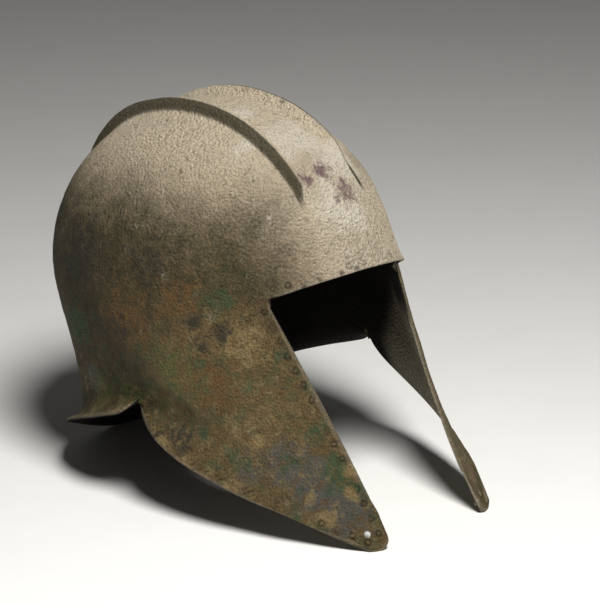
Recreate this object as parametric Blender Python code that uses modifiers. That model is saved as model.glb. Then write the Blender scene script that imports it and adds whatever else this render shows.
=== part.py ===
"""Illyrian bronze helmet with twin crest ridges, long cheek-pieces and a neck guard.

Metres, +Z up, the face opening towards -Y. It stands as it rests by itself,
on the two cheek tips and the back of the neck guard.
"""
import math

import bpy
import bmesh
import numpy as np
from mathutils import Matrix, Vector

for old in list(bpy.data.objects):
    bpy.data.objects.remove(old, do_unlink=True)

# Overall sizes that the tables below take shares of
# The finished sheet is a little narrower, where the cheek roots are evened out
WIDTH = 0.188
HEIGHT = 0.203
LENGTH = 0.259
WALL = 0.0016

# Crest ridges
RIDGE_OFFSET = 0.0195
RIDGE_HEIGHT = 0.0069
RIDGE_END_HEIGHT = 0.0044
RIDGE_FOOT = 0.0110
RIDGE_FRONT = 0.115
RIDGE_BACK = 0.88
RIDGE_FRONT_RISE = 0.03
RIDGE_BACK_FADE = 0.20
VALLEY_ROW = 0.008

# Foot of the nape, which sweeps up to the notches
NAPE_SWEEP = 0.6
NAPE_START = 0.78

# Neck guard
GUARD_FLARE = 0.0130
GUARD_FADE = 0.22
GUARD_BACK = 0.3773
GUARD_EDGE_HEIGHT = -0.0008
GUARD_KEEL = 0.025
GUARD_RISE = 0.56
GUARD_SIDE_HEIGHT = 0.266
NOTCH_SHARPNESS = 20
GUARD_FULLNESS = 2.30

# Cheek-pieces
CHEEK_BULGE = 0.0015
CHEEK_BULGE_WAY = (0.85, -0.50, 0.0)
CHEEK_EVENING = 0.40
ROOT_FADE = 2.8
FRONT_END = 0.885
REAR_END = 0.94
TIP_SHARPNESS = 8
BULGE_FADE = 4
STRAP_HOLE_RADIUS = 0.0019
STRAP_SHARE_ACROSS = 0.43
STRAP_SHARE_DOWN = 0.905

# Worn flats it rests on
FLOOR_BLOCK = 0.02

# Divisions
SKULL_COLUMNS = 27
SIDE_ROWS = 11
NOTCH_ROW = 0.965
CHEEK_ROWS = 11
ROOT_SMOOTHING = 10
ROOT_BAND = 4
NOTCH_COLUMNS = 6
HOLE_SIDES = 20
JOIN_REACH = 0.00005

HALF_WIDTH = WIDTH / 2

# Side view, from the brow edge over the crown to the foot of the nape
# forward: share of LENGTH, height: share of HEIGHT, root: share of the way
# from the brow corner to the notch, half_width: share of HALF_WIDTH,
# fullness: 2 is an ellipse and more is squarer
SECTIONS = [
    # forward, height, root, half_width, fullness
    (0.318, 0.657, 0.00, 0.507, 1.72),
    (0.272, 0.755, 0.12, 0.535, 1.88),
    (0.143, 0.911, 0.26, 0.640, 2.33),
    (-0.011, 0.991, 0.42, 0.841, 2.11),
    (-0.203, 0.987, 0.57, 0.952, 2.08),
    (-0.369, 0.881, 0.71, 1.016, 2.32),
    (-0.470, 0.617, 0.82, 0.968, 2.48),
    (-0.476, 0.413, 0.90, 0.928, 2.11),
    (-0.399, 0.200, 0.94, 0.906, 2.32),
    (-0.396, 0.050, 0.96, 0.900, 2.30),
]

# Guard profile from the foot of the nape to its edge
# out: share of the flare, down: share of the way to the edge
GUARD_PROFILE = [
    # out, down
    (0.22, 0.48),
    (0.58, 0.82),
    (1.00, 1.00),
]

# Edges of a cheek-piece, each with two shaping points between its ends
# out: share of HALF_WIDTH, forward: share of LENGTH, height: share of HEIGHT
BROW_CORNER = (0.507, 0.213, 0.588)
NOTCH = (0.903, -0.003, 0.308)
TIP = (0.390, 0.539, -0.014)
TIP_FOOT = (0.415, 0.505, -0.003)
FRONT_EDGE = [
    # out, forward, height
    BROW_CORNER,
    (0.439, 0.297, 0.421),
    (0.307, 0.444, 0.103),
    TIP,
]
REAR_EDGE = [
    # out, forward, height
    NOTCH,
    (0.983, -0.003, 0.161),
    (1.027, 0.251, 0.143),
    TIP,
]

# Across a ridge, from its inner foot to its outer foot
# across: share of RIDGE_FOOT from the crest line, rise: share of RIDGE_HEIGHT
RIDGE_PROFILE = [
    # across, rise
    (-0.66, 0.00),
    (-0.38, 0.26),
    (-0.16, 0.90),
    (0.10, 1.00),
    (0.24, 0.34),
    (0.37, 0.00),
]


def place(shares):
    out, forward, height = shares
    return np.array([out * HALF_WIDTH, -forward * LENGTH, height * HEIGHT])


def smooth_curve(stations, values, at):
    """A natural cubic curve through the values, read at the given stations."""
    last = len(stations) - 1
    gap = np.diff(stations)
    slope = np.diff(values) / gap
    matrix = np.eye(last + 1)
    right = np.zeros(last + 1)
    for i in range(1, last):
        matrix[i, i - 1:i + 2] = (gap[i - 1], 2 * (gap[i - 1] + gap[i]), gap[i])
        right[i] = 6 * (slope[i] - slope[i - 1])
    bend = np.linalg.solve(matrix, right)
    k = np.clip(np.searchsorted(stations, at) - 1, 0, last - 1)
    g = gap[k]
    a = stations[k + 1] - at
    b = at - stations[k]
    curve = (bend[k] * a ** 3 + bend[k + 1] * b ** 3) / (6 * g)
    return curve + (values[k] / g - bend[k] * g / 6) * a + (values[k + 1] / g - bend[k + 1] * g / 6) * b


def edge_curve(shares, t):
    a, b, c, d = [place(p) for p in shares]
    s = 1 - t
    return s ** 3 * a + 3 * s * s * t * b + 3 * s * t * t * c + t ** 3 * d


def ease(x):
    x = min(max(x, 0.0), 1.0)
    return x * x * (3 - 2 * x)


def ridge_rows():
    """Distances from the midline of the valley row and of the ridge's own rows, with their rise."""
    rows = [(0.0, 0.0), (VALLEY_ROW, 0.0)]
    rows += [(RIDGE_OFFSET + across * RIDGE_FOOT, rise) for across, rise in RIDGE_PROFILE]
    return rows


def quarter(reach, fullness):
    """Half a cut as pairs: distance from the midline, share of the height left."""
    near = [distance for distance, rise in ridge_rows()]
    pairs = [(d, (1 - (d / reach) ** fullness) ** (1 / fullness)) for d in near]
    start = math.asin((near[-1] / reach) ** (fullness / 2))
    for share in [i / SIDE_ROWS for i in range(1, SIDE_ROWS)] + [NOTCH_ROW, 1]:
        turn = start + (math.pi / 2 - start) * share
        pairs.append((reach * math.sin(turn) ** (2 / fullness), max(math.cos(turn), 0.0) ** (2 / fullness)))
    return pairs


def skull_columns():
    """Cuts of the skull from the brow to the foot of the nape, with where each meets the cheek root."""
    table = np.array(SECTIONS)
    steps = np.hypot(np.diff(table[:, 0]) * LENGTH, np.diff(table[:, 1]) * HEIGHT)
    stations = np.concatenate([[0], np.cumsum(steps)]) / steps.sum()
    at = np.linspace(0, 1, SKULL_COLUMNS + 1)
    forward, height, root, half_width, fullness = [smooth_curve(stations, column, at) for column in table.T]
    corner, notch = place(BROW_CORNER), place(NOTCH)
    columns = []
    for i in range(SKULL_COLUMNS + 1):
        crown = np.array([0, -forward[i] * LENGTH, height[i] * HEIGHT])
        foot = corner + (notch - corner) * root[i]
        foot[0] = 0
        sweep = 1 + NAPE_SWEEP * ease((i / SKULL_COLUMNS - NAPE_START) / (1 - NAPE_START))
        column = [foot + (crown - foot) * (left, left, left ** sweep) + np.array([distance, 0, 0])
                  for distance, left in quarter(half_width[i] * HALF_WIDTH, fullness[i])]
        columns.append(column)
    return np.array(columns), root


def guard_edge():
    """The guard's edge, from the back of the neck to the notch."""
    notch = place(NOTCH)
    back = GUARD_BACK * LENGTH
    edge = np.array([(distance, notch[1] + (back - notch[1]) * left, 0)
                     for distance, left in quarter(notch[0], GUARD_FULLNESS)])
    along = np.gradient(edge[:, :2], axis=0)
    along[0] = (1, 0)
    along /= np.linalg.norm(along, axis=1)[:, None]
    fade = np.clip((edge[:, 1] - notch[1]) / (back - notch[1]), 0, 1) ** GUARD_FADE
    edge[:, 0] -= GUARD_FLARE * fade * along[:, 1]
    edge[:, 1] += GUARD_FLARE * fade * along[:, 0]
    share = np.clip((edge[0, 1] - edge[:, 1]) / (edge[0, 1] - notch[1]), 0, 1)
    share *= share * (1 + GUARD_KEEL) / (share + GUARD_KEEL)
    side = GUARD_SIDE_HEIGHT * HEIGHT
    edge[:, 2] = GUARD_EDGE_HEIGHT + (side - GUARD_EDGE_HEIGHT) * share ** GUARD_RISE
    edge[:, 2] += (notch[2] - side) * share ** NOTCH_SHARPNESS
    return edge


def guard_columns(foot_line):
    """The flange turned out below the nape, as columns that end at the notch."""
    reach = guard_edge() - foot_line
    return np.array([foot_line + reach * (out, out, down) for out, down in GUARD_PROFILE])


def raise_ridges(columns):
    """Lift the ridge rows off the skull, fading out on the forehead and at the nape."""
    along = np.gradient(columns, axis=0)
    across = np.gradient(columns, axis=1)
    outward = np.cross(across, along)
    outward /= np.linalg.norm(outward, axis=2)[:, :, None]
    for i in range(SKULL_COLUMNS + 1):
        share = i / SKULL_COLUMNS
        ends = ease((share - RIDGE_FRONT) / RIDGE_FRONT_RISE) * ease((RIDGE_BACK - share) / RIDGE_BACK_FADE)
        along_ridge = min(max((share - RIDGE_FRONT) / (RIDGE_BACK - RIDGE_FRONT), 0.0), 1.0)
        swell = 4 * along_ridge * (1 - along_ridge)
        height = (RIDGE_END_HEIGHT + (RIDGE_HEIGHT - RIDGE_END_HEIGHT) * swell) * ends
        for row, (distance, lift) in enumerate(ridge_rows()):
            columns[i, row] += outward[i, row] * height * lift


def cheek_rows(root_line, root_shares):
    """The cheek-piece below its root, from the brow corner and the notch to the tip."""
    corner, notch, foot = place(BROW_CORNER), place(NOTCH), place(TIP_FOOT)
    even = np.linspace(0, 1, len(root_line))
    swell = root_line - np.array([corner + (notch - corner) * s for s in root_shares])
    rows = []
    for i in range(1, CHEEK_ROWS + 1):
        down = i / CHEEK_ROWS
        front = edge_curve(FRONT_EDGE, down * FRONT_END)
        rear = edge_curve(REAR_EDGE, down * REAR_END)
        nose = (foot - (front + rear) / 2) * down ** TIP_SHARPNESS
        blend = ease(down / CHEEK_EVENING)
        row = []
        for j in range(len(root_line)):
            u = root_shares[j] * (1 - blend) + even[j] * blend
            hump = max(4 * u * (1 - u), 0.0)
            point = front + (rear - front) * u + swell[j] * (1 - down) ** ROOT_FADE + nose * math.sqrt(hump)
            lift = CHEEK_BULGE * hump * ease(down / CHEEK_EVENING) * (1 - down ** BULGE_FADE)
            row.append(point + lift * np.array(CHEEK_BULGE_WAY))
        rows.append(row)
    return np.array(rows)


def half_sheet():
    """The inner face of the wearer's left half, as columns of points from the midline to the tip."""
    skull, root = skull_columns()
    guard = guard_columns(skull[-1])
    raise_ridges(skull)
    columns = np.concatenate([skull, guard])
    steps = [root[-1] + (1 - root[-1]) * down for out, down in GUARD_PROFILE]
    shares = np.concatenate([root, steps])
    sheet = np.concatenate([columns, cheek_rows(columns[:, -1], shares).transpose(1, 0, 2)], axis=1)
    root_row = columns.shape[1] - 1
    for sweep in range(ROOT_SMOOTHING):
        calm = sheet.copy()
        for row in range(root_row - ROOT_BAND, root_row + ROOT_BAND + 1):
            middle = (sheet[1:-1, row - 1] + sheet[1:-1, row + 1]) / 2
            beside = (sheet[:-2, row] + sheet[2:, row]) / 2
            middle[-NOTCH_COLUMNS:] = (middle + beside)[-NOTCH_COLUMNS:] / 2
            calm[1:-1, row] = (sheet[1:-1, row] + middle) / 2
        sheet = calm
    return sheet


def add_mesh(name, verts, faces, collection):
    mesh = bpy.data.meshes.new(name)
    mesh.from_pydata([tuple(v) for v in verts], [], faces)
    mesh.update()
    thing = bpy.data.objects.new(name, mesh)
    collection.objects.link(thing)
    return thing


def as_cutter(thing):
    thing.display_type = "WIRE"
    thing.hide_render = True
    return thing


def cut(thing, cutter, name):
    modifier = thing.modifiers.new(name, "BOOLEAN")
    modifier.operation = "DIFFERENCE"
    modifier.solver = "EXACT"
    modifier.object = cutter


def bronze():
    material = bpy.data.materials.new("aged_bronze")
    material.use_nodes = True
    shader = material.node_tree.nodes["Principled BSDF"]
    shader.inputs["Base Color"].default_value = (0.20, 0.15, 0.09, 1)
    shader.inputs["Metallic"].default_value = 0.35
    shader.inputs["Roughness"].default_value = 0.62
    return material


def build_shell(collection, sheet):
    """The one-piece sheet, open at the face and the neck."""
    count, rows = sheet.shape[:2]
    verts = sheet.reshape(-1, 3)
    faces = [(i * rows + j, i * rows + j + 1, (i + 1) * rows + j + 1, (i + 1) * rows + j)
             for i in range(count - 1) for j in range(rows - 1)]
    shell = add_mesh("helmet_shell", verts, faces, collection)
    mirror = shell.modifiers.new("other_half", "MIRROR")
    mirror.merge_threshold = JOIN_REACH
    wall = shell.modifiers.new("wall", "SOLIDIFY")
    wall.thickness = WALL
    wall.offset = 1
    shell.data.materials.append(bronze())
    for polygon in shell.data.polygons:
        polygon.use_smooth = True
    return shell


def bore_cutter(collection, sheet):
    """The strap hole by each cheek tip."""
    count, rows = sheet.shape[:2]
    across = STRAP_SHARE_ACROSS * (count - 1)
    drop = rows - 1 - (1 - STRAP_SHARE_DOWN) * CHEEK_ROWS
    i, j = min(int(across), count - 2), min(int(drop), rows - 2)
    a, b, c, d = [Vector(sheet[i + m, j + n]) for m, n in ((0, 0), (1, 0), (0, 1), (1, 1))]
    centre = a.lerp(b, across - i).lerp(c.lerp(d, across - i), drop - j)
    axis = (b - a).cross(c - a).normalized()
    turn = Vector((0, 0, 1)).rotation_difference(axis).to_matrix().to_4x4()
    mesh = bpy.data.meshes.new("strap_bore")
    bm = bmesh.new()
    bmesh.ops.create_cone(bm, cap_ends=True, segments=HOLE_SIDES, radius1=STRAP_HOLE_RADIUS,
                          radius2=STRAP_HOLE_RADIUS, depth=8 * WALL,
                          matrix=Matrix.Translation(centre) @ turn)
    bm.to_mesh(mesh)
    bm.free()
    cutter = bpy.data.objects.new("strap_bore", mesh)
    collection.objects.link(cutter)
    pair = cutter.modifiers.new("other_side", "MIRROR")
    pair.merge_threshold = JOIN_REACH
    return as_cutter(cutter)


def floor_cutter(collection):
    """The ground that the tips and the guard have worn flat against."""
    mesh = bpy.data.meshes.new("worn_ground")
    bm = bmesh.new()
    size = Matrix.Diagonal((2 * WIDTH, 2 * LENGTH, FLOOR_BLOCK, 1))
    bmesh.ops.create_cube(bm, size=1, matrix=Matrix.Translation((0, 0, -FLOOR_BLOCK / 2)) @ size)
    bm.to_mesh(mesh)
    bm.free()
    cutter = bpy.data.objects.new("worn_ground", mesh)
    collection.objects.link(cutter)
    return as_cutter(cutter)


def main():
    parts = bpy.data.collections.new("illyrian_helmet")
    cutters = bpy.data.collections.new("cutters")
    for collection in (parts, cutters):
        bpy.context.scene.collection.children.link(collection)
    cutters.hide_render = True
    sheet = half_sheet()
    shell = build_shell(parts, sheet)
    cut(shell, bore_cutter(cutters, sheet), "strap_holes")
    cut(shell, floor_cutter(cutters), "rest_flats")


main()
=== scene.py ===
"""Illyrian helmet of corroded bronze sheet, on a pale floor in soft studio light.

Metres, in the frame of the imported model: the face opens towards -Y, near is
the wearer's right side at -X, and far is the left side at +X.
"""
import math

import bpy
import bmesh
import numpy as np
from mathutils import Matrix, Vector, kdtree, noise
from mathutils.bvhtree import BVHTree


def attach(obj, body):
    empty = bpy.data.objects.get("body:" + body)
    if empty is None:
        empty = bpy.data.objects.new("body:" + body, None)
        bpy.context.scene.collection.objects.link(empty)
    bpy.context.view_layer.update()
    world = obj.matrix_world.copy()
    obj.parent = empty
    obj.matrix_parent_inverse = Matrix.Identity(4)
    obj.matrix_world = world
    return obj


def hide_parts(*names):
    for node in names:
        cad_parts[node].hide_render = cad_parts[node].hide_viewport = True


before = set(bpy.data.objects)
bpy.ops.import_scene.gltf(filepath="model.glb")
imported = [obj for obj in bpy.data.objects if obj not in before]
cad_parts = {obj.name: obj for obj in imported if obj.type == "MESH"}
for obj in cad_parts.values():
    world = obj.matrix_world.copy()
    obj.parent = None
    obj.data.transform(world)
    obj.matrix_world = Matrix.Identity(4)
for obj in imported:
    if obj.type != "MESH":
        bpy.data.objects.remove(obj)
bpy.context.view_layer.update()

# Photograph and camera
IMAGE_WIDTH = 600
IMAGE_HEIGHT = 604
SENSOR = 36.0
FOCAL_PIXELS = 2892.8
CAMERA_AZIMUTH = math.radians(-44.38)
CAMERA_ELEVATION = math.radians(17.24)
CAMERA_DISTANCE = 1.574
CAMERA_TARGET = Vector((0.0118, -0.0189, 0.0982))

# Overall sizes, as in the CAD part
WIDTH = 0.188
HEIGHT = 0.203
LENGTH = 0.259
WALL = 0.0016
HALF_WIDTH = WIDTH / 2

# Crest ridges
RIDGE_OFFSET = 0.0195
RIDGE_HEIGHT = 0.0069
RIDGE_END_HEIGHT = 0.0044
RIDGE_FOOT = 0.0110
RIDGE_FRONTS = {-1: 0.117, 1: 0.140}
RIDGE_FRONT_RISES = {-1: 0.022, 1: 0.06}
RIDGE_BACK = 0.88
RIDGE_BACK_FADE = 0.20
RIDGE_INNER_HEIGHT = 0.6
VALLEY_ROW = 0.008

# Foot of the nape, which sweeps up to the notches
NAPE_SWEEP = 0.6
NAPE_START = 0.78

# Neck guard
GUARD_FLARE = 0.0130
GUARD_FADE = 0.22
GUARD_BACK = 0.3773
GUARD_EDGE_HEIGHT = -0.0008
GUARD_KEEL = 0.025
GUARD_RISE = 0.56
GUARD_SIDE_HEIGHT = 0.266
NOTCH_SHARPNESS = 20
GUARD_FULLNESS = 2.30

# Cheek-pieces
CHEEK_BULGE = 0.0015
CHEEK_BULGE_WAY = (0.85, -0.50, 0.0)
CHEEK_EVENING = 0.40
ROOT_FADE = 2.8
FRONT_END = 0.885
REAR_END = 0.94
TIP_SHARPNESS = 8
BULGE_FADE = 4
STRAP_HOLE_RADIUS = 0.0019

# Divisions of the CAD sheet
SKULL_COLUMNS = 27
SIDE_ROWS = 11
NOTCH_ROW = 0.965
CHEEK_ROWS = 11
ROOT_SMOOTHING = 10
ROOT_BAND = 4
NOTCH_COLUMNS = 6

# Columns and rows of the CAD sheet that the fine divisions are measured on
SKULL_SAMPLE = slice(5, 20)
CROWN_COLUMN = 10
CROWN_ROWS = 9

# Divisions of the fine sheet
FINE_STEP = 0.00145
RIDGE_STEP = 0.0006
RIDGE_BAND = (-0.66, 0.46)
RIDGE_CLEAR = 0.004
RIDGE_SOFTENING = 0.05
BORDER_STEPS = (0.0004, 0.0010)
LEAST_GAP = 0.0019
RING_CUTS = 2
RING_REACH = 0.0026

# Ring punches along the edges
RING_RADIUS = 0.0014
RING_GROOVE = 0.00042
RING_DEPTH = 0.00035
RING_INSET = 0.0038
RING_PITCH = 0.0086
RING_NOTCH_ROWS = 20
RING_WEAR_PER_METRE = 71
RING_WEAR_MEAN = 0.8
RING_WEAR_SPREAD = 2.0
RING_WEAR_LEAST = 0.2

# Strap holes, with the centre of the wearer's left one
STRAP_HOLE = (0.0420, -0.1235, 0.0072)
HOLE_SIDES = 32
BORE_DEPTH = 8 * WALL
RECESS_REACH = 0.0036
RECESS_STEP = 0.0016
RECESS_DEPTH = 0.0006

# Rows of the CAD sheet over which the tip is level across
TIP_ROWS = 5

# How far a border keeps its corner at the root of the cheek-piece
CORNER_REACH = 0.012

# Unevenness of the sheet
SLOW_PER_METRE = 30
SLOW_DEPTH = 0.0005
GRAIN_PER_METRE = 260
GRAIN_DEPTH = 0.00014
COARSE_GRAIN = 2
DENT_DEPTH = 0.0012
NICK_DEPTH = 0.0007
RIM_HEIGHT = 0.00035
RIM_WIDTH = 0.0034
RIM_STEP = 0.0008
RIM_ROUND = 0.0006

# Studio
SKY_STRENGTH = 0.050
KEY_AZIMUTH = -28
KEY_ELEVATION = 56
KEY_DISTANCE = 1.1
KEY_SIZE = 0.40
KEY_WATTS = 19.0
KEY_COLOR = (1.0, 0.98, 0.94)
SKY_COLOR = (1.0, 0.98, 0.95, 1)
FLOOR_REACH = 6.0
FLOOR_LOW = (0.78, 0.78, 0.78)
FLOOR_HIGH = (0.83, 0.83, 0.82)

# Zones of the patina and of painted light, each as where its fade starts and how far it reaches
# out: share of HALF_WIDTH, height: share of HEIGHT, front: share of LENGTH
# The crown and forehead are pale partly from bleached crust and partly as painted light where the key
# falls on the top and front
CROWN_HEIGHT = (0.70, 0.29)
CROWN_PALE = 0.97
FOREHEAD_OUT = (-0.66, 0.52)
FOREHEAD_FRONT = (-0.04, 0.26)
FOREHEAD_HEIGHT = (0.50, 0.14)
FOREHEAD_PALE = 0.74
CHEEK_HEIGHT = (0.62, 0.16)
CHEEK_FRONT = (0.0, 0.12)
CHEEK_PALE = 0.20
LEAST_PALE = 0.05
BROWN_HEIGHT = (1.00, 0.46)
GREEN_HEIGHT = (0.62, 0.2)
GREEN_SHARE = 0.30
OCHRE_HEIGHT = (0.50, 0.2)
OCHRE_SHARE = 0.25
RUST_HEIGHT = (0.70, 0.2)
RUST_SHARE = 0.26

# The inside is painted near black as shade, except low down on the cheek-pieces, where it keeps its own
# colour; here in metres
INSIDE_HEIGHT = (0.110, 0.030)
INSIDE_FRONT = (0.01, 0.10)

# Painted shade on the outer wall of each ridge: across as in RIDGE_PROFILE
FLANK_SHADE_INNER = (0.10, 0.06)
FLANK_SHADE_OUTER = (0.44, 0.08)
FLANK_SHADE_FRONT = (0.225, 0.02)
FLANK_SHADE_HEIGHT = (0.62, 0.10)

# Sizes of the patina's grain, as features per metre
BROAD_SCALE = 24
MIDDLE_SCALE = 110
FLECK_SCALE = 230
FINE_SCALE = 620
PEBBLE_SCALE = 620
PIT_SCALE = 900
STAIN_SCALE = 70
STAIN_SCALE_STEP = 23
BUMP_DISTANCE = 0.0042
METALLIC = 0.12
SPECULAR = 0.30

# Patina colours, and the painted shade of the inside
TAN = (0.800, 0.690, 0.520)
OLIVE = (0.040, 0.034, 0.010)
BROWN = (0.420, 0.285, 0.130)
BLEACHED = (0.500, 0.450, 0.350)
RUST = (0.190, 0.100, 0.036)
PIT = (0.022, 0.019, 0.012)
# painted shade: near black for the inside of the skull, where it lies in shade
INSIDE_PAINTED_SHADE = (0.010, 0.008, 0.005)
INSIDE_LIT = (0.330, 0.290, 0.210)
KIND_COLORS = {
    # whitish bloom, and a painted highlight where the key lights the crown
    "bloom_and_highlight": (0.900, 0.820, 0.680),
    "slate": (0.112, 0.115, 0.110),
    "green": (0.055, 0.105, 0.045),
    "moss": (0.110, 0.130, 0.032),
    "ochre": (0.330, 0.240, 0.110),
    "violet": (0.230, 0.135, 0.150),
    "rust": (0.165, 0.088, 0.028),
    "dark": (0.035, 0.031, 0.021),
}
KINDS = list(KIND_COLORS) + ["coarse", "dent", "nick"]

# Stains, dents and nicks read off the photograph
# across and down: pixels in the photograph, radius: metres
MARKS = [
    # kind, across, down, radius, strength
    # whitish bloom on the crown, partly a painted highlight where the key lights it
    ("bloom_and_highlight", 250, 150, 0.014, 0.45),
    ("bloom_and_highlight", 295, 138, 0.018, 0.90),
    ("bloom_and_highlight", 340, 205, 0.024, 0.60),
    ("bloom_and_highlight", 240, 112, 0.012, 0.70),
    ("bloom_and_highlight", 335, 160, 0.018, 0.80),
    ("bloom_and_highlight", 130, 120, 0.012, 0.45),
    ("slate", 95, 379, 0.008, 1.0),
    ("slate", 318, 484, 0.017, 1.0),
    ("slate", 345, 508, 0.014, 0.95),
    ("slate", 285, 466, 0.015, 0.80),
    ("slate", 248, 470, 0.012, 0.60),
    ("green", 78, 325, 0.016, 0.90),
    ("green", 200, 430, 0.011, 0.60),
    ("green", 337, 470, 0.008, 1.0),
    ("green", 348, 488, 0.006, 0.9),
    ("green", 265, 385, 0.009, 0.5),
    ("green", 215, 300, 0.014, 0.50),
    ("moss", 104, 392, 0.012, 1.0),
    ("moss", 130, 396, 0.012, 1.0),
    ("moss", 160, 395, 0.012, 0.55),
    ("moss", 170, 380, 0.022, 0.45),
    ("ochre", 351, 470, 0.005, 1.0),
    ("ochre", 352, 495, 0.005, 0.9),
    ("ochre", 326, 520, 0.006, 1.0),
    ("ochre", 258, 442, 0.006, 0.8),
    ("ochre", 232, 488, 0.007, 0.8),
    ("ochre", 162, 446, 0.009, 0.75),
    ("ochre", 182, 464, 0.009, 0.75),
    ("ochre", 205, 474, 0.007, 0.60),
    ("ochre", 240, 430, 0.016, 0.45),
    ("ochre", 310, 498, 0.006, 0.60),
    ("ochre", 245, 345, 0.016, 0.60),
    ("ochre", 92, 413, 0.014, 0.50),
    ("ochre", 118, 411, 0.014, 0.50),
    ("ochre", 75, 416, 0.006, 0.60),
    ("violet", 304, 179, 0.006, 0.75),
    ("violet", 322, 170, 0.008, 0.70),
    ("violet", 345, 190, 0.009, 0.65),
    ("rust", 120, 320, 0.028, 0.55),
    ("rust", 215, 390, 0.020, 0.6),
    ("rust", 175, 300, 0.018, 0.55),
    ("dark", 193, 322, 0.005, 0.90),
    ("dark", 221, 332, 0.005, 0.90),
    ("dark", 150, 262, 0.022, 0.45),
    ("dark", 78, 255, 0.024, 0.75),
    ("dark", 182, 440, 0.011, 0.60),
    ("dark", 118, 330, 0.014, 0.45),
    ("dark", 200, 345, 0.012, 0.40),
    ("coarse", 100, 290, 0.045, 1.0),
    ("coarse", 130, 200, 0.030, 0.8),
    ("coarse", 365, 255, 0.022, 0.9),
    ("coarse", 300, 285, 0.022, 0.8),
    ("coarse", 230, 430, 0.030, 0.6),
    ("dent", 200, 330, 0.020, 0.8),
    ("dent", 250, 410, 0.018, 0.6),
    ("dent", 330, 235, 0.014, 0.5),
    ("dent", 120, 270, 0.018, 0.6),
    ("nick", 304, 287, 0.0018, 1.0),
    ("nick", 320, 280, 0.0016, 0.9),
    ("nick", 342, 273, 0.0018, 1.0),
    ("nick", 357, 268, 0.0022, 0.9),
    ("nick", 282, 101, 0.0018, 1.0),
]

# Side view, from the brow edge over the crown to the foot of the nape
# forward: share of LENGTH, height: share of HEIGHT, root: share of the way
# from the brow corner to the notch, half_width: share of HALF_WIDTH,
# fullness: 2 is an ellipse and more is squarer
SECTIONS = [
    # forward, height, root, half_width, fullness
    (0.318, 0.657, 0.00, 0.507, 1.72),
    (0.272, 0.755, 0.12, 0.535, 1.88),
    (0.143, 0.911, 0.26, 0.640, 2.33),
    (-0.011, 0.991, 0.42, 0.841, 2.11),
    (-0.203, 0.987, 0.57, 0.952, 2.08),
    (-0.369, 0.881, 0.71, 1.016, 2.32),
    (-0.470, 0.617, 0.82, 0.968, 2.48),
    (-0.476, 0.413, 0.90, 0.928, 2.11),
    (-0.399, 0.200, 0.94, 0.906, 2.32),
    (-0.396, 0.050, 0.96, 0.900, 2.30),
]

# Guard profile from the foot of the nape to its edge
# out: share of the flare, down: share of the way to the edge
GUARD_PROFILE = [
    # out, down
    (0.22, 0.48),
    (0.58, 0.82),
    (1.00, 1.00),
]

# Edges of a cheek-piece, each with two shaping points between its ends
# out: share of HALF_WIDTH, forward: share of LENGTH, height: share of HEIGHT
BROW_CORNER = (0.507, 0.213, 0.588)
NOTCH = (0.903, -0.003, 0.308)
TIP = (0.390, 0.539, -0.014)
TIP_FOOT = (0.415, 0.505, -0.003)
FRONT_EDGE = [
    # out, forward, height
    BROW_CORNER,
    (0.439, 0.297, 0.421),
    (0.307, 0.444, 0.103),
    TIP,
]
REAR_EDGE = [
    # out, forward, height
    NOTCH,
    (0.983, -0.003, 0.161),
    (1.027, 0.251, 0.143),
    TIP,
]

# Across a ridge, from its inner foot to its outer foot
# across: share of RIDGE_FOOT from the crest line, rise: share of RIDGE_HEIGHT
RIDGE_PROFILE = [
    # across, rise
    (-0.66, 0.00),
    (-0.38, 0.26),
    (-0.16, 0.90),
    (0.10, 1.00),
    (0.24, 0.34),
    (0.37, 0.00),
]


def place(shares):
    """The point that is given as shares of the helmet's half width, length and height."""
    out, forward, height = shares
    return np.array([out * HALF_WIDTH, -forward * LENGTH, height * HEIGHT])


def spline(stations, values, at):
    """A natural cubic curve through each column of values, read at the given stations."""
    last = len(stations) - 1
    gap = np.diff(stations)
    slope = np.diff(values, axis=0) / gap[:, None]
    matrix = np.eye(last + 1)
    right = np.zeros(values.shape)
    for i in range(1, last):
        matrix[i, i - 1:i + 2] = (gap[i - 1], 2 * (gap[i - 1] + gap[i]), gap[i])
        right[i] = 6 * (slope[i] - slope[i - 1])
    bend = np.linalg.solve(matrix, right)
    k = np.clip(np.searchsorted(stations, at) - 1, 0, last - 1)
    g = gap[k][:, None]
    a = (stations[k + 1] - at)[:, None]
    b = (at - stations[k])[:, None]
    curve = (bend[k] * a ** 3 + bend[k + 1] * b ** 3) / (6 * g)
    return curve + (values[k] / g - bend[k] * g / 6) * a + (values[k + 1] / g - bend[k + 1] * g / 6) * b


def edge_curve(shares, t):
    """A cubic curve between two ends, drawn by two shaping points."""
    a, b, c, d = [place(p) for p in shares]
    s = 1 - t
    return s ** 3 * a + 3 * s * s * t * b + 3 * s * t * t * c + t ** 3 * d


def ease(x):
    x = np.clip(x, 0.0, 1.0)
    return x * x * (3 - 2 * x)


def rising(value, zone):
    start, reach = zone
    return ease((value - start) / reach)


def falling(value, zone):
    start, reach = zone
    return ease((start - value) / reach)


def quarter(reach, fullness):
    """Half a cut as pairs: distance from the midline, share of the height left."""
    near = [0.0, VALLEY_ROW] + [RIDGE_OFFSET + across * RIDGE_FOOT for across, rise in RIDGE_PROFILE]
    pairs = [(d, (1 - (d / reach) ** fullness) ** (1 / fullness)) for d in near]
    start = math.asin((near[-1] / reach) ** (fullness / 2))
    for share in [i / SIDE_ROWS for i in range(1, SIDE_ROWS)] + [NOTCH_ROW, 1]:
        turn = start + (math.pi / 2 - start) * share
        pairs.append((reach * math.sin(turn) ** (2 / fullness),
                      max(math.cos(turn), 0.0) ** (2 / fullness)))
    return pairs


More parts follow.
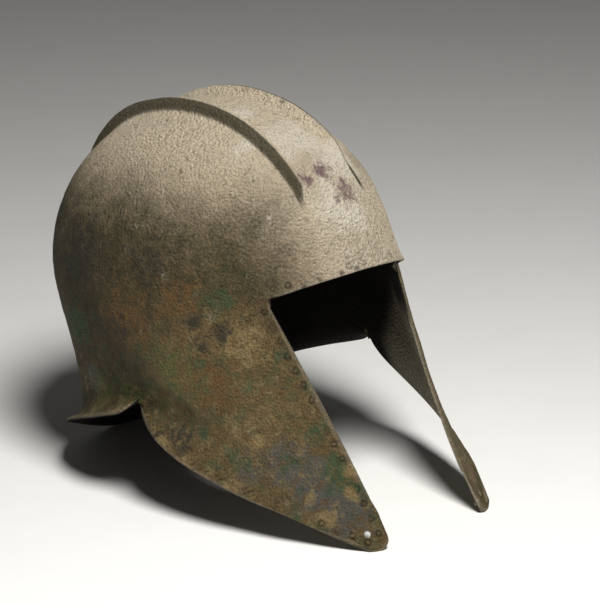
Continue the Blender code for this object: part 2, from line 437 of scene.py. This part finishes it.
def skull_columns():
    """Cuts of the skull from the brow to the foot of the nape, with where each meets the cheek root."""
    table = np.array(SECTIONS)
    steps = np.hypot(np.diff(table[:, 0]) * LENGTH, np.diff(table[:, 1]) * HEIGHT)
    stations = np.concatenate([[0], np.cumsum(steps)]) / steps.sum()
    rows = spline(stations, table, np.linspace(0, 1, SKULL_COLUMNS + 1))
    corner, notch = place(BROW_CORNER), place(NOTCH)
    columns = []
    for i, (forward, height, root, half_width, fullness) in enumerate(rows):
        crown = np.array([0, -forward * LENGTH, height * HEIGHT])
        foot = corner + (notch - corner) * root
        foot[0] = 0
        sweep = 1 + NAPE_SWEEP * ease((i / SKULL_COLUMNS - NAPE_START) / (1 - NAPE_START))
        columns.append([foot + (crown - foot) * (left, left, left ** sweep) + np.array([distance, 0, 0])
                        for distance, left in quarter(half_width * HALF_WIDTH, fullness)])
    return np.array(columns), rows[:, 2]


def guard_edge():
    """The guard's edge, from the back of the neck to the notch."""
    notch = place(NOTCH)
    back = GUARD_BACK * LENGTH
    edge = np.array([(distance, notch[1] + (back - notch[1]) * left, 0)
                     for distance, left in quarter(notch[0], GUARD_FULLNESS)])
    along = np.gradient(edge[:, :2], axis=0)
    along[0] = (1, 0)
    along /= np.linalg.norm(along, axis=1)[:, None]
    fade = np.clip((edge[:, 1] - notch[1]) / (back - notch[1]), 0, 1) ** GUARD_FADE
    edge[:, 0] -= GUARD_FLARE * fade * along[:, 1]
    edge[:, 1] += GUARD_FLARE * fade * along[:, 0]
    share = np.clip((edge[0, 1] - edge[:, 1]) / (edge[0, 1] - notch[1]), 0, 1)
    share *= share * (1 + GUARD_KEEL) / (share + GUARD_KEEL)
    side = GUARD_SIDE_HEIGHT * HEIGHT
    edge[:, 2] = GUARD_EDGE_HEIGHT + (side - GUARD_EDGE_HEIGHT) * share ** GUARD_RISE
    edge[:, 2] += (notch[2] - side) * share ** NOTCH_SHARPNESS
    return edge


def cheek_rows(root_line, root_shares):
    """The cheek-piece below its root, from the brow corner and the notch to the tip."""
    corner, notch, foot = place(BROW_CORNER), place(NOTCH), place(TIP_FOOT)
    even = np.linspace(0, 1, len(root_line))
    swell = root_line - np.array([corner + (notch - corner) * s for s in root_shares])
    rows = []
    for i in range(1, CHEEK_ROWS + 1):
        down = i / CHEEK_ROWS
        front = edge_curve(FRONT_EDGE, down * FRONT_END)
        rear = edge_curve(REAR_EDGE, down * REAR_END)
        nose = (foot - (front + rear) / 2) * down ** TIP_SHARPNESS
        blend = ease(down / CHEEK_EVENING)
        row = []
        for j in range(len(root_line)):
            u = root_shares[j] * (1 - blend) + even[j] * blend
            hump = max(4 * u * (1 - u), 0.0)
            point = front + (rear - front) * u + swell[j] * (1 - down) ** ROOT_FADE
            point = point + nose * math.sqrt(hump)
            lift = CHEEK_BULGE * hump * ease(down / CHEEK_EVENING) * (1 - down ** BULGE_FADE)
            row.append(point + lift * np.array(CHEEK_BULGE_WAY))
        rows.append(row)
    return np.array(rows)


def half_sheet():
    """The wearer's left half without its ridge, on the CAD sheet's own divisions."""
    skull, root = skull_columns()
    reach = guard_edge() - skull[-1]
    guard = np.array([skull[-1] + reach * (out, out, down) for out, down in GUARD_PROFILE])
    columns = np.concatenate([skull, guard])
    steps = [root[-1] + (1 - root[-1]) * down for out, down in GUARD_PROFILE]
    shares = np.concatenate([root, steps])
    sheet = np.concatenate([columns, cheek_rows(columns[:, -1], shares).transpose(1, 0, 2)], axis=1)
    root_row = columns.shape[1] - 1
    for sweep in range(ROOT_SMOOTHING):
        calm = sheet.copy()
        for row in range(root_row - ROOT_BAND, root_row + ROOT_BAND + 1):
            middle = (sheet[1:-1, row - 1] + sheet[1:-1, row + 1]) / 2
            beside = (sheet[:-2, row] + sheet[2:, row]) / 2
            middle[-NOTCH_COLUMNS:] = (middle + beside)[-NOTCH_COLUMNS:] / 2
            calm[1:-1, row] = (sheet[1:-1, row] + middle) / 2
        sheet = calm
    return sheet, root_row


def run_length(points, axis):
    """Mean distance run along one way of a grid of points."""
    steps = np.linalg.norm(np.diff(points, axis=axis), axis=2).mean(axis=1 - axis)
    return np.concatenate([[0], np.cumsum(steps)])


def fine_stations(length, bands=()):
    """Even steps with closer ones beside both borders and inside each band of (start, end, step)."""
    marks = list(np.linspace(0, length, int(length / FINE_STEP) + 1))
    for start, end, step in bands:
        marks = [m for m in marks if not start < m < end]
        marks += list(np.linspace(start, end, int((end - start) / step) + 1))
    marks = [m for m in marks if m == 0 or m == length or FINE_STEP <= m <= length - FINE_STEP]
    marks += list(BORDER_STEPS) + [length - s for s in BORDER_STEPS]
    return np.array(sorted(set(marks)))


def outward_of(grid):
    """The outward way at each point of a grid, level with the midline on its first row."""
    normal = np.cross(np.gradient(grid, axis=1), np.gradient(grid, axis=0))
    normal[:, 0, 0] = 0
    size = np.linalg.norm(normal, axis=2, keepdims=True)
    return normal / np.maximum(size, 1e-12)


def ridge_height(distance, share, side):
    """Height of the ridge at a distance from the midline and a share of the crown line."""
    across = (distance - RIDGE_OFFSET) / RIDGE_FOOT
    table = np.array(RIDGE_PROFILE)
    soft = sum(np.interp(across + shift, table[:, 0], table[:, 1])
               for shift in (-RIDGE_SOFTENING, 0, RIDGE_SOFTENING)) / 3
    front = RIDGE_FRONTS[side]
    along = np.clip((share - front) / (RIDGE_BACK - front), 0, 1)
    height = RIDGE_END_HEIGHT + (RIDGE_HEIGHT - RIDGE_END_HEIGHT) * 4 * along * (1 - along)
    ends = ease((share - front) / RIDGE_FRONT_RISES[side]) * ease((RIDGE_BACK - share) / RIDGE_BACK_FADE)
    return soft * height * ends


def down_columns(row_run, lines, row_at, root_row, corner):
    """A fine curve down each column, which keeps its corner at the root where corner is 1."""
    root = row_run[root_row]
    smooth = spline(row_run, lines, row_at)
    above = spline(row_run[:root_row + 1], lines[:root_row + 1], row_at[row_at <= root])
    below = spline(row_run[root_row:], lines[root_row:], row_at[row_at > root])
    return smooth * (1 - corner) + np.concatenate([above, below]) * corner


def fine_half(coarse, root_row, side):
    """Outer and inner face of one half as grids of points, with the distance in from the edge."""
    column_run = run_length(coarse[:, :SIDE_ROWS], 0)
    row_run = run_length(coarse[SKULL_SAMPLE], 1)
    column_at = fine_stations(column_run[-1])
    band = [RIDGE_OFFSET + across * RIDGE_FOOT for across in RIDGE_BAND]
    band_start, band_end = np.interp(band, coarse[CROWN_COLUMN, :CROWN_ROWS, 0], row_run[:CROWN_ROWS])
    row_at = fine_stations(row_run[-1], [(band_start, band_end, RIDGE_STEP)])
    row_at = row_at[np.abs(row_at - row_run[root_row]) > FINE_STEP / 2]
    row_at = np.sort(np.append(row_at, row_run[root_row]))
    count, rows = coarse.shape[:2]
    grid = spline(column_run, coarse.reshape(count, -1), column_at).reshape(len(column_at), rows, 3)
    grid = grid.transpose(1, 0, 2).reshape(rows, -1)
    corner = np.exp(-(np.minimum(column_at, column_run[-1] - column_at) / CORNER_REACH) ** 2)
    grid = down_columns(row_run, grid, row_at, root_row, np.repeat(corner, 3))
    grid = grid.reshape(len(row_at), len(column_at), 3).transpose(1, 0, 2)
    outward = outward_of(grid)
    level = outward[len(column_at) // 4:3 * len(column_at) // 4].mean(axis=0)
    flat = ease((np.interp(row_at, row_run, np.arange(rows)) - (rows - TIP_ROWS)) / 2)[:, None]
    outward = outward * (1 - flat) + level * flat
    share = np.interp(column_at, column_run, np.arange(count)) / SKULL_COLUMNS
    height = ridge_height(grid[:, :, 0], share[:, None], side)
    height[:, row_at > band_end + RIDGE_CLEAR] = 0
    lift = height[:, :, None]
    outer = grid + outward * (lift + WALL)
    inner = grid + outward * lift * RIDGE_INNER_HEIGHT
    outer[:, :, 0] *= side
    inner[:, :, 0] *= side
    run = np.concatenate([np.zeros((1, len(row_at))),
                          np.cumsum(np.linalg.norm(np.diff(outer, axis=0), axis=2), axis=0)])
    edge = np.minimum(run, run[-1] - run)
    foot = np.linalg.norm(outer - outer[:, -1:], axis=2)
    return outer, inner, np.minimum(edge, foot)


def kept_columns(grid):
    """For each row, the columns that are kept, fewer as the columns run together."""
    count, rows = grid.shape[:2]
    last = count - 1
    order = np.array([c & -c if 0 < c < last else 0 for c in range(count)])
    keep = np.ones(count, bool)
    kept = []
    for j in range(rows):
        run = np.concatenate([[0], np.cumsum(np.linalg.norm(np.diff(grid[:, j], axis=0), axis=1))])
        for c in range(1, last):
            reach = run[min(c + order[c], last)] - run[max(c - order[c], 0)]
            keep[c] &= reach >= LEAST_GAP
        kept.append(np.flatnonzero(keep))
    return kept


class Sheet:
    """Vertices and faces of the whole shell while it is put together."""

    def __init__(self):
        self.points = []
        self.skin = []
        self.edge = []
        self.faces = []

    def add(self, point, skin, edge):
        self.points.append(point)
        self.skin.append(skin)
        self.edge.append(edge)
        return len(self.points) - 1

    def face(self, ring, side):
        self.faces.append(ring if side > 0 else ring[::-1])


def lay_face(sheet, grid, edge, kept, rows, skin, side, middle):
    """Puts one grid of points in as vertices and faces. The midline row is shared by both halves."""
    index = {}
    for j in rows:
        for c in kept[j]:
            if j == 0 and c in middle:
                index[c, j] = middle[c]
                continue
            index[c, j] = sheet.add(grid[c, j], skin, edge[c, j])
            if j == 0:
                middle[c] = index[c, j]
    way = side if skin else -side
    for upper, lower in zip(rows[:-1], rows[1:]):
        for left, right in zip(kept[lower][:-1], kept[lower][1:]):
            chain = [index[c, upper] for c in kept[upper] if left <= c <= right]
            sheet.face(chain + [index[right, lower], index[left, lower]], way)
    return index


def close_rim(sheet, outer, inner, kept, inner_kept, rows, inner_rows, side):
    """The narrow face all along the edge of the sheet, between its outer and inner face."""
    last = kept[0][-1]
    for upper, lower in zip(inner_rows[:-1], inner_rows[1:]):
        between = [j for j in rows if upper <= j <= lower]
        front = [outer[0, j] for j in between] + [inner[0, lower], inner[0, upper]]
        rear = [outer[last, j] for j in between] + [inner[last, lower], inner[last, upper]]
        sheet.face(front[::-1], -side)
        sheet.face(rear, -side)
    tip = rows[-1]
    for left, right in zip(inner_kept[tip][:-1], inner_kept[tip][1:]):
        chain = [outer[c, tip] for c in kept[tip] if left <= c <= right]
        sheet.face((chain + [inner[right, tip], inner[left, tip]])[::-1], -side)


def ring_row(grid, rows, column):
    """Centres of punched rings along one border, a set distance in from it and a pitch apart."""
    border = grid[column]
    path = []
    for j in rows:
        line = grid[:, j] if column == 0 else grid[::-1, j]
        gap = np.linalg.norm(line[:, None] - border[None], axis=2).min(axis=1)
        far = int(np.argmax(gap > RING_INSET))
        if far == 0:
            break
        share = (RING_INSET - gap[far - 1]) / (gap[far] - gap[far - 1])
        path.append(line[far - 1] + (line[far] - line[far - 1]) * share)
    path = np.array(path)
    run = np.concatenate([[0], np.cumsum(np.linalg.norm(np.diff(path, axis=0), axis=1))])
    marks = np.arange(RING_PITCH / 2, run[-1], RING_PITCH)
    return [Vector([np.interp(m, run, path[:, k]) for k in range(3)]) for m in marks]


def bore(thing, centre, way):
    """Cuts a strap hole through both faces of the sheet."""
    bm = bmesh.new()
    turn = Vector((0, 0, 1)).rotation_difference(way).to_matrix().to_4x4()
    bmesh.ops.create_cone(bm, cap_ends=True, segments=HOLE_SIDES, radius1=STRAP_HOLE_RADIUS,
                          radius2=STRAP_HOLE_RADIUS, depth=BORE_DEPTH,
                          matrix=Matrix.Translation(centre) @ turn)
    mesh = bpy.data.meshes.new("strap_bore")
    bm.to_mesh(mesh)
    bm.free()
    cutter = bpy.data.objects.new("strap_bore", mesh)
    bpy.context.scene.collection.objects.link(cutter)
    modifier = thing.modifiers.new("strap_hole", "BOOLEAN")
    modifier.operation = "DIFFERENCE"
    modifier.solver = "EXACT"
    modifier.object = cutter
    graph = bpy.context.evaluated_depsgraph_get()
    thing.data = bpy.data.meshes.new_from_object(thing.evaluated_get(graph))
    thing.modifiers.clear()
    bpy.data.objects.remove(cutter)


def build_shell():
    """The whole shell, with the trees of ring centres and strap holes on it."""
    coarse, root_row = half_sheet()
    sheet = Sheet()
    middle_outer, middle_inner = {}, {}
    rings = []
    holes = []
    for side in (-1, 1):
        outer, inner, edge = fine_half(coarse, root_row, side)
        kept = kept_columns(outer)
        count, row_count = outer.shape[:2]
        rows = list(range(row_count))
        inner_rows = sorted(set(range(0, row_count, 2)) | {row_count - 1})
        inner_kept = [np.array([c for c in k if c % 2 == 0 or c == count - 1]) for k in kept]
        out_index = lay_face(sheet, outer, edge, kept, rows, 1, side, middle_outer)
        in_index = lay_face(sheet, inner, edge, inner_kept, inner_rows, 0, side, middle_inner)
        close_rim(sheet, out_index, in_index, kept, inner_kept, rows, inner_rows, side)
        brow_row = int(np.argmin(np.abs(outer[0, :, 2] - BROW_CORNER[2] * HEIGHT)))
        rings += ring_row(outer, rows, 0)
        rings += ring_row(outer, rows[brow_row + RING_NOTCH_ROWS:], -1)
        hole = Vector((side * STRAP_HOLE[0], STRAP_HOLE[1], STRAP_HOLE[2]))
        gap = np.linalg.norm(outer - np.array(hole), axis=2)
        at = np.unravel_index(np.argmin(gap), gap.shape)
        holes.append((hole, Vector(outer[at] - inner[at]).normalized()))
    mesh = bpy.data.meshes.new("helmet_shell_aged")
    mesh.from_pydata([tuple(p) for p in sheet.points], [], sheet.faces)
    for name, values in (("skin", sheet.skin), ("edge", sheet.edge)):
        mesh.attributes.new(name, "FLOAT", "POINT").data.foreach_set("value", values)
    thing = bpy.data.objects.new("helmet_shell_aged", mesh)
    bpy.context.scene.collection.objects.link(thing)
    for hole, way in holes:
        bore(thing, hole, way)
    ring_tree, hole_tree = tree_of(rings), tree_of([hole for hole, way in holes])
    divide_around(thing, ring_tree, hole_tree)
    for polygon in thing.data.polygons:
        polygon.use_smooth = True
    return thing, ring_tree, hole_tree


def divide_around(thing, ring_tree, hole_tree):
    """Finer faces on the outside where the rings and the strap holes' surrounds are sunk in."""
    bm = bmesh.new()
    bm.from_mesh(thing.data)
    skin = bm.verts.layers.float["skin"]
    near = {v for v in bm.verts if v[skin] > 0.5
            and (ring_tree.find(v.co)[2] < RING_REACH or hole_tree.find(v.co)[2] < RECESS_REACH)}
    edges = [e for e in bm.edges
             if e.verts[0] in near and e.verts[1] in near and e.calc_length() > RING_GROOVE]
    bmesh.ops.subdivide_edges(bm, edges=edges, cuts=RING_CUTS, use_grid_fill=True)
    bm.to_mesh(thing.data)
    bm.free()


def tree_of(points):
    tree = kdtree.KDTree(len(points))
    for i, point in enumerate(points):
        tree.insert(point, i)
    tree.balance()
    return tree


def camera_back():
    """The way from the helmet to the camera."""
    return Vector((math.sin(CAMERA_AZIMUTH) * math.cos(CAMERA_ELEVATION),
                   -math.cos(CAMERA_AZIMUTH) * math.cos(CAMERA_ELEVATION),
                   math.sin(CAMERA_ELEVATION)))


def placed_marks(thing):
    """Each stain or dent of the photograph, at the point of the sheet that shows at its pixel."""
    tree = BVHTree.FromPolygons([v.co for v in thing.data.vertices],
                                [tuple(p.vertices) for p in thing.data.polygons])
    back = camera_back()
    eye = CAMERA_TARGET + back * CAMERA_DISTANCE
    turn = (-back).to_track_quat("-Z", "Y")
    marks = []
    for kind, across, down, radius, strength in MARKS:
        ray = turn @ Vector((across - IMAGE_WIDTH / 2, IMAGE_HEIGHT / 2 - down, -FOCAL_PIXELS))
        spot = tree.ray_cast(eye, ray.normalized())[0]
        if spot is not None:
            marks.append((kind, np.array(spot), radius, strength))
    return marks


def stain(thing, marks, ring_tree):
    """Writes how strongly each kind of patina, painted shade and painted light shows at each vertex, for
    the material to read.
    """
    mesh = thing.data
    count = len(mesh.vertices)
    points = np.empty(count * 3)
    mesh.vertices.foreach_get("co", points)
    points = points.reshape(-1, 3)
    fields = {kind: np.zeros(count) for kind in KINDS}
    for kind, spot, radius, strength in marks:
        gap = np.linalg.norm(points - spot, axis=1) / radius
        fields[kind] = np.maximum(fields[kind], strength * np.exp(-gap ** 2))
    out = points[:, 0] / HALF_WIDTH
    height = points[:, 2] / HEIGHT
    front = -points[:, 1] / LENGTH
    # the crown and forehead are paler, partly bleached crust and partly painted light on the top and
    # front
    crown = rising(height, CROWN_HEIGHT) * CROWN_PALE
    forehead = rising(out, FOREHEAD_OUT) * rising(front, FOREHEAD_FRONT)
    forehead = forehead * rising(height, FOREHEAD_HEIGHT)
    cheek = falling(height, CHEEK_HEIGHT) * rising(front, CHEEK_FRONT) * CHEEK_PALE
    fields["pale"] = np.maximum(crown, forehead * FOREHEAD_PALE) + cheek + LEAST_PALE
    fields["brown"] = falling(height, BROWN_HEIGHT) * (1 - forehead)
    fields["green"] = np.maximum(fields["green"], GREEN_SHARE * falling(height, GREEN_HEIGHT))
    fields["ochre"] = np.maximum(fields["ochre"], OCHRE_SHARE * falling(height, OCHRE_HEIGHT))
    fields["rust"] = np.maximum(fields["rust"], RUST_SHARE * falling(height, RUST_HEIGHT))
    # where the inside keeps its own colour; elsewhere the inside is painted near black as shade
    fields["low"] = falling(points[:, 2], INSIDE_HEIGHT) * rising(front, INSIDE_FRONT)
    # painted shade on the outer wall of each ridge
    across = (np.abs(points[:, 0]) - RIDGE_OFFSET) / RIDGE_FOOT
    fields["flank_shade"] = rising(across, FLANK_SHADE_INNER) * falling(across, FLANK_SHADE_OUTER)
    fields["flank_shade"] *= falling(front, FLANK_SHADE_FRONT) * rising(height, FLANK_SHADE_HEIGHT)
    fields["ring"] = np.zeros(count)
    for i, point in enumerate(points):
        spot, number, gap = ring_tree.find(point)
        if gap < RING_REACH:
            fields["ring"][i] = ring_wear(spot) * math.exp(-((gap - RING_RADIUS) / RING_GROOVE) ** 2)
    for name, values in fields.items():
        mesh.attributes.new(name, "FLOAT", "POINT").data.foreach_set("value", values)


def ring_wear(spot):
    """Some of the punched rings have faded away with wear."""
    wear = RING_WEAR_MEAN + RING_WEAR_SPREAD * noise.noise(spot * RING_WEAR_PER_METRE)
    return min(max(wear, RING_WEAR_LEAST), 1.0)


def relief(thing, ring_tree, hole_tree):
    """Moves the outer face in and out: slow unevenness, grain, rim, nicks and punched rings."""
    mesh = thing.data
    names = ("skin", "edge", "ring", "coarse", "dent", "nick")
    fields = {name: mesh.attributes[name].data for name in names}
    normals = [v.normal.copy() for v in mesh.vertices]
    for v, normal in zip(mesh.vertices, normals):
        p = v.co
        skin, edge, ring, coarse, dent, nick = [fields[name][v.index].value for name in fields]
        slow = noise.fractal(p * SLOW_PER_METRE, 1.0, 2.0, 2) * SLOW_DEPTH - dent * DENT_DEPTH
        if skin > 0.5:
            grain = noise.fractal(p * GRAIN_PER_METRE, 0.7, 2.1, 3)
            depth = slow + grain * GRAIN_DEPTH * (1 + COARSE_GRAIN * coarse)
            depth += RIM_HEIGHT * ease((RIM_WIDTH - edge) / RIM_STEP) * ease(edge / RIM_ROUND)
            depth -= RING_DEPTH * ring * ease((edge - RIM_STEP) / RIM_STEP) + NICK_DEPTH * nick
            depth -= RECESS_DEPTH * ease((RECESS_REACH - hole_tree.find(p)[2]) / RECESS_STEP)
        else:
            depth = -slow
        v.co = p + normal * depth
        v.co.z = max(v.co.z, 0.0)
    mesh.update()


class Finish:
    """A procedural material under way: its nodes, links and shader."""

    def __init__(self, name):
        self.material = bpy.data.materials.new(name)
        self.material.use_nodes = True
        self.tree = self.material.node_tree
        self.shader = self.tree.nodes["Principled BSDF"]
        self.place = self.tree.nodes.new("ShaderNodeTexCoord").outputs["Object"]

    def link(self, source, socket):
        self.tree.links.new(source, socket)

    def grain(self, scale, detail=4.0, rough=0.6):
        node = self.tree.nodes.new("ShaderNodeTexNoise")
        node.inputs["Scale"].default_value = scale
        node.inputs["Detail"].default_value = detail
        node.inputs["Roughness"].default_value = rough
        self.link(self.place, node.inputs["Vector"])
        return node.outputs["Fac"]

    def cells(self, scale):
        node = self.tree.nodes.new("ShaderNodeTexVoronoi")
        node.inputs["Scale"].default_value = scale
        self.link(self.place, node.inputs["Vector"])
        return node.outputs["Distance"]

    def field(self, name):
        node = self.tree.nodes.new("ShaderNodeAttribute")
        node.attribute_name = name
        return node.outputs["Fac"]

    def math(self, operation, a, b):
        node = self.tree.nodes.new("ShaderNodeMath")
        node.operation = operation
        for socket, value in zip(node.inputs, (a, b)):
            if isinstance(value, (int, float)):
                socket.default_value = value
            else:
                self.link(value, socket)
        return node.outputs[0]

    def step(self, value, low, high, start=0.0, end=1.0):
        node = self.tree.nodes.new("ShaderNodeMapRange")
        node.interpolation_type = "SMOOTHSTEP"
        self.link(value, node.inputs["Value"])
        for name, number in (("From Min", low), ("From Max", high), ("To Min", start), ("To Max", end)):
            node.inputs[name].default_value = number
        return node.outputs["Result"]

    def mix(self, factor, a, b):
        node = self.tree.nodes.new("ShaderNodeMix")
        node.data_type = "RGBA"
        self.link(factor, node.inputs["Factor"])
        for socket, value in ((node.inputs[6], a), (node.inputs[7], b)):
            if isinstance(value, tuple):
                socket.default_value = (*value, 1)
            else:
                self.link(value, socket)
        return node.outputs[2]

    def bump(self, height, strength, distance):
        node = self.tree.nodes.new("ShaderNodeBump")
        node.inputs["Strength"].default_value = strength
        node.inputs["Distance"].default_value = distance
        self.link(height, node.inputs["Height"])
        self.link(node.outputs["Normal"], self.shader.inputs["Normal"])


def patina():
    """Corroded bronze: tan over olive, the tan partly painted light on the crown and forehead, with
    crusts, stains, pits, painted shade on the ridges' outer walls and a near-black inside that is
    painted shade.
    """
    f = Finish("aged_bronze")
    broad, middle = f.grain(BROAD_SCALE, 5, 0.6), f.grain(MIDDLE_SCALE, 8, 0.72)
    flecks, fine = f.grain(FLECK_SCALE, 6, 0.75), f.grain(FINE_SCALE, 6, 0.78)
    pits = f.cells(PIT_SCALE)

    # tan on the crown and forehead, partly bleached crust and partly painted light where the key falls;
    # brown below, both wearing down to olive
    patch = f.math("ADD", f.math("MULTIPLY", broad, 0.5), f.math("MULTIPLY", middle, 1.5))
    base = f.math("ADD", f.field("pale"), f.math("MULTIPLY", f.math("SUBTRACT", patch, 1.0), 0.55))
    base = f.math("ADD", base, f.math("MULTIPLY", f.math("SUBTRACT", fine, 0.5), 1.3))
    metal = f.mix(f.field("brown"), TAN, BROWN)
    color = f.mix(f.step(base, -0.20, 1.05), OLIVE, metal)

    # flecks of rust and of bleached crust
    rusty = f.step(f.math("ADD", flecks, f.math("MULTIPLY", middle, 0.7)), 0.90, 1.10, 0.0, 0.5)
    color = f.mix(rusty, color, RUST)
    crust = f.math("ADD", fine, f.math("MULTIPLY", f.field("pale"), 0.10))
    color = f.mix(f.step(crust, 0.64, 0.76), color, BLEACHED)

    # stains, each with its own broken edge
    for turn, (kind, tint) in enumerate(KIND_COLORS.items()):
        own = f.grain(STAIN_SCALE + STAIN_SCALE_STEP * turn, 7, 0.74)
        loose = f.math("ADD", f.math("MULTIPLY", f.math("SUBTRACT", own, 0.5), 2.2),
                       f.math("MULTIPLY", f.math("SUBTRACT", fine, 0.5), 0.9))
        spread = f.math("ADD", f.field(kind), loose)
        color = f.mix(f.step(spread, 0.22, 0.72, 0.0, 0.88), color, tint)

    # pits, painted shade on the ridges' outer walls, the rubbed rim, punched rings and nicks
    hollow = f.math("SUBTRACT", f.math("ADD", fine, f.math("MULTIPLY", f.field("coarse"), 0.08)),
                    f.math("MULTIPLY", pits, 0.22))
    sunk = f.step(hollow, 0.40, 0.56)
    color = f.mix(f.math("MULTIPLY", sunk, 0.42), color, PIT)
    # painted shade: the outer wall of each ridge is coloured olive
    color = f.mix(f.math("MULTIPLY", f.field("flank_shade"), 0.88), color, OLIVE)
    color = f.mix(f.step(f.field("edge"), 0.0005, 0.0032, 0.22, 0.0), color, BLEACHED)
    color = f.mix(f.math("MULTIPLY", f.field("ring"), 0.95), color, PIT)
    color = f.mix(f.step(f.field("nick"), 0.2, 0.9, 0.0, 0.7), color, PIT)

    # painted shade: the inside is coloured near black in the skull, for the shade that lies there
    inside_unshaded = f.math("ADD", f.field("low"), f.math("MULTIPLY", f.math("SUBTRACT", middle, 0.5), 0.6))
    inside = f.mix(f.step(inside_unshaded, 0.1, 0.9), INSIDE_PAINTED_SHADE, INSIDE_LIT)
    color = f.mix(f.step(f.field("skin"), 0.3, 0.7), inside, color)
    f.link(color, f.shader.inputs["Base Color"])

    # slate is smoother than the rest
    smooth = f.math("ADD", f.field("slate"), f.math("MULTIPLY", middle, 0.4))
    smooth = f.step(smooth, 0.3, 0.8, 0.0, 0.22)
    f.link(f.math("SUBTRACT", f.step(fine, 0.3, 0.7, 0.58, 0.86), smooth), f.shader.inputs["Roughness"])
    height = f.math("ADD", f.math("MULTIPLY", fine, 0.9), f.math("MULTIPLY", flecks, 0.9))
    height = f.math("SUBTRACT", height, f.math("MULTIPLY", f.cells(PEBBLE_SCALE), 0.55))
    f.bump(height, 1.0, BUMP_DISTANCE)
    f.shader.inputs["Metallic"].default_value = METALLIC
    f.shader.inputs["Specular IOR Level"].default_value = SPECULAR
    return f.material


def floor_finish():
    """Matt white ground with the faintest unevenness."""
    f = Finish("pale_floor")
    f.link(f.mix(f.grain(9, 4), FLOOR_LOW, FLOOR_HIGH), f.shader.inputs["Base Color"])
    f.link(f.step(f.grain(40, 3), 0.3, 0.7, 0.75, 0.85), f.shader.inputs["Roughness"])
    f.bump(f.grain(700, 3), 0.05, 0.0005)
    return f.material


def add_camera():
    data = bpy.data.cameras.new("camera")
    data.sensor_fit = "HORIZONTAL"
    data.sensor_width = SENSOR
    data.lens = FOCAL_PIXELS / IMAGE_WIDTH * SENSOR
    data.clip_start = 0.05
    data.clip_end = 30
    camera = bpy.data.objects.new("camera", data)
    bpy.context.scene.collection.objects.link(camera)
    back = camera_back()
    camera.location = CAMERA_TARGET + back * CAMERA_DISTANCE
    camera.rotation_mode = "QUATERNION"
    camera.rotation_quaternion = (-back).to_track_quat("-Z", "Y")
    bpy.context.scene.camera = camera


def add_key():
    """A soft disc of light above and to the left of the open face."""
    a, e = math.radians(KEY_AZIMUTH), math.radians(KEY_ELEVATION)
    way = Vector((math.sin(a) * math.cos(e), -math.cos(a) * math.cos(e), math.sin(e)))
    data = bpy.data.lights.new("key", "AREA")
    data.shape = "DISK"
    data.size = KEY_SIZE
    data.energy = KEY_WATTS
    data.color = KEY_COLOR
    light = bpy.data.objects.new("key", data)
    light.location = CAMERA_TARGET + way * KEY_DISTANCE
    light.rotation_mode = "QUATERNION"
    light.rotation_quaternion = (-way).to_track_quat("-Z", "Y")
    bpy.context.scene.collection.objects.link(light)


def add_floor():
    mesh = bpy.data.meshes.new("floor")
    corners = [(x * FLOOR_REACH, y * FLOOR_REACH, 0) for x, y in ((-1, -1), (1, -1), (1, 1), (-1, 1))]
    mesh.from_pydata(corners, [], [(0, 1, 2, 3)])
    floor = bpy.data.objects.new("floor", mesh)
    bpy.context.scene.collection.objects.link(floor)
    mesh.materials.append(floor_finish())


def studio():
    world = bpy.data.worlds.new("studio")
    world.use_nodes = True
    world.node_tree.nodes["Background"].inputs["Color"].default_value = SKY_COLOR
    world.node_tree.nodes["Background"].inputs["Strength"].default_value = SKY_STRENGTH
    bpy.context.scene.world = world
    bpy.context.scene.view_settings.view_transform = "Standard"
    add_key()


def main():
    add_camera()
    studio()
    add_floor()
    shell, ring_tree, hole_tree = build_shell()
    stain(shell, placed_marks(shell), ring_tree)
    relief(shell, ring_tree, hole_tree)
    shell.data.materials.append(patina())
    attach(shell, "root")
    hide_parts("helmet_shell")


main()
